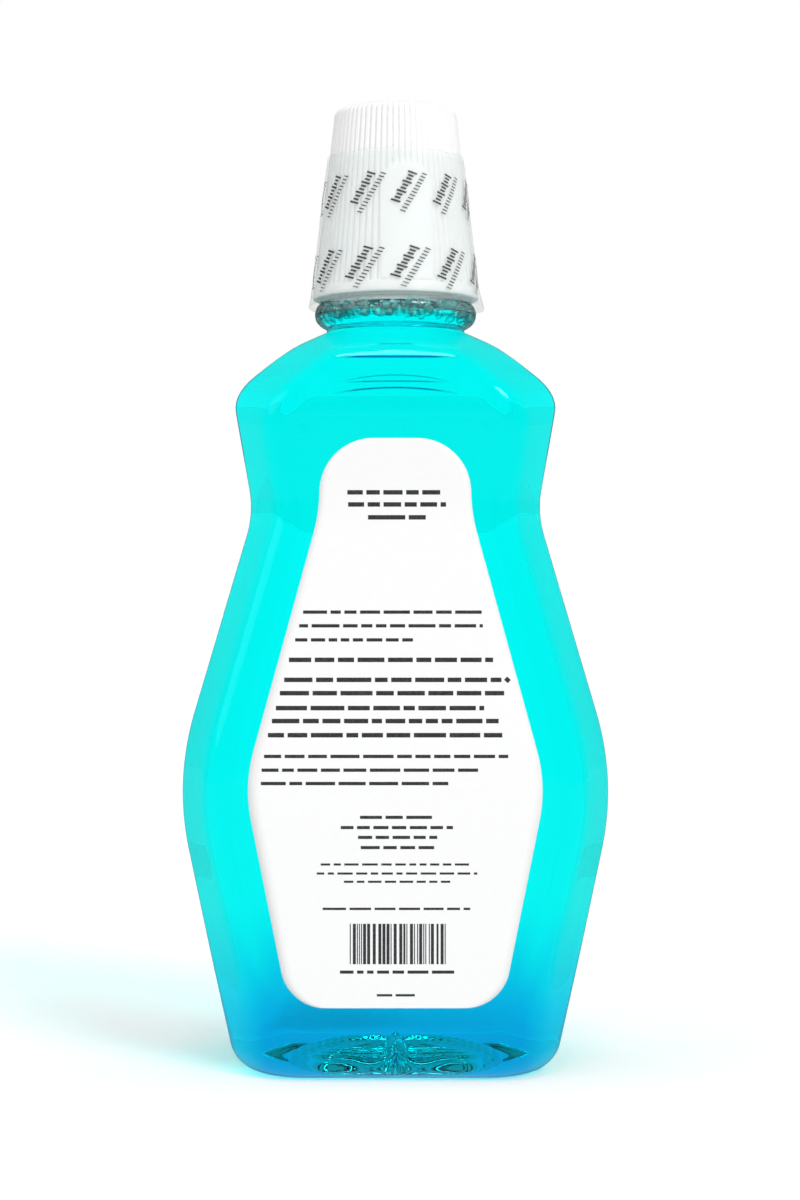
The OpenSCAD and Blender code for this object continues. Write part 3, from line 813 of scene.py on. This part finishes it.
place(capWall(), "cap", "cap_white", "cap_shell")
for nodeName, finish in (("thread_insert", insertFinish), ("cap_liner", linerFinish)):
    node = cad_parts[nodeName]
    node.data.materials.clear()
    node.data.materials.append(finish)
print("cap, insert and liner finished")


# ---- shrink band: a thin wavy sleeve, with its print on the outside

filmSizes = {"lowZ": 201.2, "highZ": 241.2, "lift": 0.44, "thickness": 0.1, "wave": 0.06, "edgeWave": 0.35}
f = filmSizes


def filmRadius(angle, z):
    share = (z - f["lowZ"]) / (f["highZ"] - f["lowZ"])
    ripple = math.sin(9 * angle + 1.3 + 2.0 * share) * 0.5 + math.sin(23 * angle + 4 * share) * 0.3
    ripple += math.sin(5 * angle - 7 * share) * 0.4 + math.sin(37 * angle + 9 * share + 2) * 0.2
    loose = math.exp(-(share / 0.09) ** 2) * (0.35 + 0.55 * max(0.0, math.cos(angle - 1.35)) ** 6)
    tight = math.exp(-((1 - share) / 0.05) ** 2) * -0.06
    return capR(z) + f["lift"] + f["wave"] * ripple * 0.6 + loose + tight


def filmSleeve():
    columns, rows = (288, 56) if fine else (144, 28)
    wave = f["edgeWave"]
    inner, outer = [], []
    for k in range(rows + 1):
        share = k / rows
        ring = []
        for i in range(columns):
            a = 2 * math.pi * i / columns
            low = f["lowZ"] + wave * (math.sin(3 * a + 1) * 0.5 + math.sin(8 * a) * 0.35) * (1 - share) ** 4
            high = f["highZ"] + wave * (math.sin(4 * a + 2) * 0.6 + math.sin(11 * a) * 0.3) * share ** 4
            z = low + (high - low) * share
            r = filmRadius(a, z)
            ring.append((r * math.sin(a), r * math.cos(a), z))
        ring = np.array(ring)
        radii = np.hypot(ring[:, 0], ring[:, 1])[:, None]
        inner.append(ring)
        outer.append(np.column_stack([ring[:, :2] * (1 + f["thickness"] / radii), ring[:, 2]]))
    mesh = ringMesh("filmSleeve", inner + outer[::-1], closed=True)
    return finishObject("shrinkFilmSleeve", mesh, filmFinish)


# the print is laid out flat, with x as the angle times the wrap radius, and then wrapped round the film
printSizes = {
    "Columns": 11, "Rows": 2, "Row Gap": 19.8 * mm, "Low Row": 210.0 * mm, "First Angle": math.radians(9.6),
    "Low Radius": (c["rimR"] + 0.62) * mm, "Slope": (c["topR"] - c["rimR"]) / c["height"],
    "Rim": c["rimZ"] * mm, "Wrap Radius": 20 * mm,
}
barSizes = {"lean": 58, "pitch": 0.98, "inkHalfT": 0.02}


def barMotif():
    # two slanted rows of short dashes, drawn flat in the XZ plane
    lean = math.radians(barSizes["lean"])
    lengthwise = np.array([math.cos(lean), math.sin(lean)])
    across = np.array([math.sin(lean), -math.cos(lean)])
    # each bar: start along its row, place across, thickness, length
    heavy = [(k * barSizes["pitch"] - 4.4, -1.3, 0.5, 1.5 if k % 3 else 2.5) for k in range(10)]
    light = [(k * barSizes["pitch"] - 5.6, 1.7, 0.3, 1.4) for k in range(13)]
    points, faces = [], []
    for start, side, thickness, length in heavy + light:
        corners = []
        for t, w in ((0, -0.5), (1, -0.5), (1, 0.5), (0, 0.5)):
            shear = w * length * 0.25
            corners.append(lengthwise * (start + t * thickness + shear) + across * (side + w * length))
        base = len(points)
        for depth in (-barSizes["inkHalfT"], barSizes["inkHalfT"]):
            points += [(x, depth, z) for x, z in corners]
        faces += [[base, base + 1, base + 2, base + 3], [base + 7, base + 6, base + 5, base + 4]]
        faces += [[base + i, base + 4 + i, base + 4 + (i + 1) % 4, base + (i + 1) % 4] for i in range(4)]
    mesh = bpy.data.meshes.new("barMotif")
    mesh.from_pydata((np.array(points) * mm).tolist(), [], faces)
    if enclosedVolume(mesh) < 0:
        mesh.flip_normals()
    return mesh


def filmPrint():
    tree, given = newTree("bandPrint", printSizes)
    index = addNode(tree, "GeometryNodeInputIndex").outputs[0]
    row = calc(tree, "FLOOR", calc(tree, "DIVIDE", calc(tree, "ADD", index, 0.5), given["Columns"]))
    column = calc(tree, "SUBTRACT", index, times(tree, row, given["Columns"]))
    step = calc(tree, "DIVIDE", 2 * math.pi, given["Columns"])
    angle = calc(tree, "ADD", times(tree, column, step), given["First Angle"])
    flatX = times(tree, angle, given["Wrap Radius"])
    flatZ = calc(tree, "ADD", times(tree, row, given["Row Gap"]), given["Low Row"])
    total = times(tree, given["Columns"], given["Rows"])
    spot = addNode(tree, "ShaderNodeCombineXYZ", {0: flatX, 2: flatZ}).outputs[0]
    spots = addNode(tree, "GeometryNodePoints", {"Count": total, "Position": spot})
    marks = addNode(tree, "GeometryNodeInstanceOnPoints", {"Points": spots.outputs[0], "Instance": given[0]})
    flat = addNode(tree, "GeometryNodeRealizeInstances", {0: marks.outputs[0]})
    x, y, z = splitUp(tree, addNode(tree, "GeometryNodeInputPosition").outputs[0])
    turn = calc(tree, "DIVIDE", x, given["Wrap Radius"])
    rise = times(tree, calc(tree, "SUBTRACT", z, given["Rim"]), given["Slope"])
    radius = calc(tree, "SUBTRACT", calc(tree, "ADD", given["Low Radius"], rise), y)
    roundX = times(tree, radius, calc(tree, "SINE", turn))
    roundY = times(tree, radius, calc(tree, "COSINE", turn), -1.0)
    wrapped = addNode(tree, "ShaderNodeCombineXYZ", {0: roundX, 1: roundY, 2: z}).outputs[0]
    moved = addNode(tree, "GeometryNodeSetPosition", {"Geometry": flat.outputs[0], "Position": wrapped})
    closeTree(tree, moved.outputs[0], bandInkFinish)
    return grow(finishObject("shrinkFilmPrint", barMotif(), smooth=False), tree, printSizes)


place(filmSleeve(), "band", "clear_film", "neckband")
place(filmPrint(), "band", "clear_film")


# ---- labels: thin sheets on the wide panels; the back one has rows of plain dashes and a striped block

labelSizes = {
    "lowZ": 19.0, "highZ": 164.5, "lowHalfW": 27.2, "hipHalfW": 38.6, "waistHalfW": 19.4, "highHalfW": 19.6,
    "lowR": 9.0, "highR": 14.0, "thickness": 0.15, "edgeDrop": 0.06, "sunk": 0.05, "seed": 7,
}
s = labelSizes
labelKnots = [(s["lowZ"], s["lowHalfW"], 0), (b["hipZ"], s["hipHalfW"], b["hipEase"] / 2),
              (b["waistZ"], s["waistHalfW"], b["waistEase"]), (s["highZ"], s["highHalfW"], 0)]
# rows of print: height, left end, right end, height of the dashes, shortest and longest dash
backRows = [
    (150.6, -12.3, 13.2, 1.15, 3.0, 6.0), (147.5, -12.1, 13.0, 1.15, 3.0, 6.0),
    (144.2, -7.0, 7.8, 1.15, 9.0, 15.0), (119.9, -23.6, 22.1, 0.85, 2.0, 7.0),
    (116.4, -24.6, 22.4, 0.85, 2.0, 8.0), (112.8, -25.6, 4.5, 0.85, 2.0, 5.0),
    (107.7, -27.2, 25.0, 1.15, 2.5, 8.0), (102.6, -28.4, 29.3, 1.15, 2.5, 9.0),
    (99.2, -29.5, 27.8, 1.15, 2.5, 9.0), (95.4, -30.5, 22.7, 1.15, 2.5, 9.0),
    (92.1, -31.5, 27.5, 1.15, 2.5, 8.0), (88.5, -32.5, 27.3, 1.15, 2.5, 9.0),
    (83.1, -33.5, 28.8, 0.85, 3.0, 8.0), (79.6, -34.1, 21.1, 0.85, 3.0, 8.0),
    (76.2, -34.3, 13.5, 0.85, 3.0, 8.0), (67.6, -9.0, 9.9, 0.8, 4.0, 8.0),
    (65.0, -13.9, 14.7, 0.8, 3.0, 7.0), (62.5, -9.5, 10.7, 0.8, 3.0, 7.0),
    (59.9, -8.8, 9.9, 0.8, 3.0, 6.0), (55.6, -19.0, 20.1, 0.55, 1.5, 4.0),
    (53.3, -20.0, 20.9, 0.55, 1.5, 4.0), (51.2, -13.1, 14.0, 0.55, 1.5, 4.0),
    (44.3, -18.5, 19.1, 0.6, 2.5, 6.0), (28.2, -14.1, 15.0, 0.8, 1.5, 7.0), (22.3, -4.7, 5.5, 0.6, 3.0, 5.0),
]
stripeBlock = {"left": -11.6, "right": 13.0, "lowZ": 30.2, "highZ": 40.5}
inkThickness = 0.03


def cornerCut(h, r):
    return 0 if h >= r else r - math.sqrt(max(0, r * r - (r - h) ** 2))


def labelHalfW(z):
    return along(labelKnots, z) - cornerCut(z - s["lowZ"], s["lowR"]) - cornerCut(s["highZ"] - z, s["highR"])


def labelSheet(name, side, material):
    # side is -1 for the back label, which faces -Y, and 1 for the front one, which is clear film
    heights = [s["lowZ"] + s["lowR"] * (1 - math.cos(math.radians(a))) for a in range(0, 90, 5)]
    heights += list(np.linspace(s["lowZ"] + s["lowR"], s["highZ"] - s["highR"], 90))
    heights += [s["highZ"] - s["highR"] * (1 - math.cos(math.radians(a))) for a in range(85, -1, -5)]
    rings = []
    for z in heights:
        half = max(labelHalfW(z), 0.5)
        y = along(depthKnots, z)
        xs = np.linspace(-half, half, 24)
        outer = [(x, side * (y + s["thickness"] - (s["edgeDrop"] if abs(x) == half else 0)), z) for x in xs]
        inner = [(x, side * (y - s["sunk"]), z) for x in xs[::-1]]
        rings.append(np.array(outer + inner))
    return finishObject(name, ringMesh(name, rings), material)


def printedRows(name, sheet, side, marks, material):
    # marks are x, height, width and length of each dash; a tree lays them on the sheet
    mesh = bpy.data.meshes.new(name)
    mesh.from_pydata([(x * mm, side * 0.06, z * mm) for x, z, w, h in marks], [], [])
    markPoints(mesh, "dashW", [w * mm for x, z, w, h in marks])
    markPoints(mesh, "dashH", [h * mm for x, z, w, h in marks])
    rowSizes = {"Side": float(side), "Ink Thickness": inkThickness * mm}
    tree, given = newTree("printedRows", rowSizes)
    target = addNode(tree, "GeometryNodeObjectInfo", {0: sheet}, transform_space="ORIGINAL")
    inward = addNode(tree, "ShaderNodeCombineXYZ", {1: times(tree, given["Side"], -1.0)}).outputs[0]
    feeds = {"Target Geometry": target.outputs["Geometry"], "Ray Direction": inward, "Ray Length": 0.2}
    hit = addNode(tree, "GeometryNodeRaycast", feeds).outputs
    points = addNode(tree, "GeometryNodeMeshToPoints", {0: given[0]}).outputs[0]
    feeds = {"Geometry": points, "Position": hit["Hit Position"]}
    onSheet = addNode(tree, "GeometryNodeSetPosition", feeds).outputs[0]
    turn = addNode(tree, "FunctionNodeAlignRotationToVector", {"Vector": hit["Hit Normal"]}, axis="Y")
    feeds = {0: readMark(tree, "dashW"), 1: given["Ink Thickness"], 2: readMark(tree, "dashH")}
    size = addNode(tree, "ShaderNodeCombineXYZ", feeds).outputs[0]
    dash = addNode(tree, "GeometryNodeMeshCube", {"Size": (1.0, 1.0, 1.0)}).outputs[0]
    dashes = addNode(tree, "GeometryNodeInstanceOnPoints",
                     {"Points": onSheet, "Instance": dash, "Rotation": turn.outputs[0], "Scale": size})
    closeTree(tree, dashes.outputs[0], material)
    return grow(finishObject(name, mesh, smooth=False), tree, rowSizes)


def dashMarks(rows):
    # each row is split into dashes of uneven length, the same on every run
    dice = random.Random(s["seed"])
    marks = []
    for z, left, right, height, short, long in rows:
        x = left
        while x < right - 0.8:
            width = min(dice.uniform(short, long), right - x)
            marks.append((x + width / 2, z, width, height))
            x += width + 0.9
    return marks


def stripeMarks(block):
    dice = random.Random(s["seed"] + 1)
    middleZ = (block["lowZ"] + block["highZ"]) / 2
    marks = []
    x = block["left"]
    while x < block["right"] - 0.3:
        width = dice.choice((0.26, 0.26, 0.52, 0.78))
        marks.append((x + width / 2, middleZ, width, block["highZ"] - block["lowZ"]))
        x += width + dice.choice((0.26, 0.26, 0.52, 0.65))
    return marks


backSheet = labelSheet("backLabelSheet", -1, paperFinish)
frontSheet = labelSheet("frontLabelSheet", 1, labelFilmFinish)
backMarks = dashMarks(backRows) + stripeMarks(stripeBlock)
backPrint = printedRows("backLabelPrint", backSheet, -1, backMarks, inkFinish)
place(backSheet, "bottle", "label_paper", "back_label")
place(frontSheet, "bottle", "clear_film", "front_label")
place(backPrint, "bottle", "label_paper")


# ---- floor, light and camera

lightSizes = {"air": 0.63, "overhead": 0.6, "glossShare": 0.25, "floorGlow": 0.14, "underGlow": 0.9,
              "underR": 0.06}    # metres
# far soft lamps: degrees from overhead, degrees round from +Y, spread, strength
lamps = {"keyLamp": (52, 38, 18, 1.2), "topLamp": (20, 0, 16, 0.45), "fillLamp": (62, -62, 40, 0.25)}
cameraPlace = {"lens": 71.5, "aside": 0.0012, "away": 0.640, "height": 0.123}    # metres, but for the lens


def stageFloor():
    mesh = bpy.data.meshes.new("floor")
    mesh.from_pydata([(-20, -20, 0), (20, -20, 0), (20, 20, 0), (-20, 20, 0)], [], [[0, 1, 2, 3]])
    material, tree, shader, where = newMaterial("floorWhite", (0.9, 0.9, 0.9), 0.9)
    shader.inputs["Specular IOR Level"].default_value = 0.0
    grain = speckle(tree, where, 30, 2.0)
    path = addNode(tree, "ShaderNodeLightPath").outputs
    mirrored = thrownBack(tree, path)
    color = blended(tree, grain, (0.9, 0.9, 0.9), (0.93, 0.93, 0.93))
    darker = blended(tree, mirrored, (1, 1, 1), (lightSizes["glossShare"],) * 3)
    feeds = {0: 1.0, 6: color, 7: darker}
    product = addNode(tree, "ShaderNodeMix", feeds, data_type="RGBA", blend_type="MULTIPLY").outputs[2]
    tree.links.new(product, shader.inputs["Base Color"])
    seen = calc(tree, "MAXIMUM", path["Is Camera Ray"], path["Is Transmission Ray"])
    seen = times(tree, seen, calc(tree, "SUBTRACT", 1.0, mirrored))
    away = addNode(tree, "ShaderNodeVectorMath", {0: where}, operation="LENGTH").outputs["Value"]
    under = ranged(tree, away, lightSizes["underR"] * 0.5, lightSizes["underR"], lightSizes["underGlow"], 0.0)
    under = times(tree, under, path["Is Transmission Ray"])
    glow = calc(tree, "ADD", times(tree, seen, lightSizes["floorGlow"]), under)
    tree.links.new(glow, shader.inputs["Emission Strength"])
    shader.inputs["Emission Color"].default_value = (1, 1, 1, 1)
    finishObject("stageFloor", mesh, material, smooth=False)


def addLamp(name, tilt, turn, spread, strength):
    lamp = bpy.data.lights.new(name, "SUN")
    lamp.angle = math.radians(spread)
    lamp.energy = strength
    holder = bpy.data.objects.new(name, lamp)
    holder.rotation_euler = (math.radians(tilt), 0, math.radians(turn))
    holder.location = (0, 0, 1)
    bpy.context.scene.collection.objects.link(holder)


def studioWorld():
    world = bpy.data.worlds.new("studioAir")
    bpy.context.scene.world = world
    world.use_nodes = True
    tree = world.node_tree
    sky = tree.nodes["Background"]
    path = addNode(tree, "ShaderNodeLightPath").outputs
    direction = addNode(tree, "ShaderNodeTexCoord").outputs["Generated"]
    overhead = ranged(tree, splitUp(tree, direction)[2], 0.3, 0.75, 1.0, lightSizes["overhead"])
    mirrored = times(tree, path["Is Glossy Ray"], lightSizes["glossShare"])
    seen = times(tree, calc(tree, "MAXIMUM", mirrored, path["Is Transmission Ray"]), overhead)
    dulled = ranged(tree, thrownBack(tree, path), 0.0, 1.0, 1.0, lightSizes["glossShare"])
    seen = calc(tree, "MAXIMUM", times(tree, seen, dulled), path["Is Camera Ray"])
    # light that a dull surface has scattered comes from the air's own level, through clear film too
    scattered = calc(tree, "MINIMUM", path["Diffuse Depth"], 1.0)
    direct = times(tree, seen, calc(tree, "SUBTRACT", 1.0, scattered))
    level = calc(tree, "ADD", direct, times(tree, scattered, lightSizes["air"]))
    tree.links.new(level, sky.inputs["Strength"])
    sky.inputs["Color"].default_value = (1, 1, 1, 1)


def photoCamera():
    camera = bpy.data.cameras.new("photoCamera")
    camera.lens = cameraPlace["lens"]
    camera.sensor_width = 36
    camera.sensor_fit = "AUTO"
    camera.clip_start = 0.01
    camera.clip_end = 100
    holder = bpy.data.objects.new("photoCamera", camera)
    holder.location = (cameraPlace["aside"], -cameraPlace["away"], cameraPlace["height"])
    holder.rotation_euler = (math.pi / 2, 0, 0)
    bpy.context.scene.collection.objects.link(holder)
    bpy.context.scene.camera = holder


stageFloor()
studioWorld()
for lampName, settings in lamps.items():
    addLamp(lampName, *settings)
photoCamera()
bpy.context.scene.view_settings.view_transform = "Standard"
print("stage, lamps and camera ready")
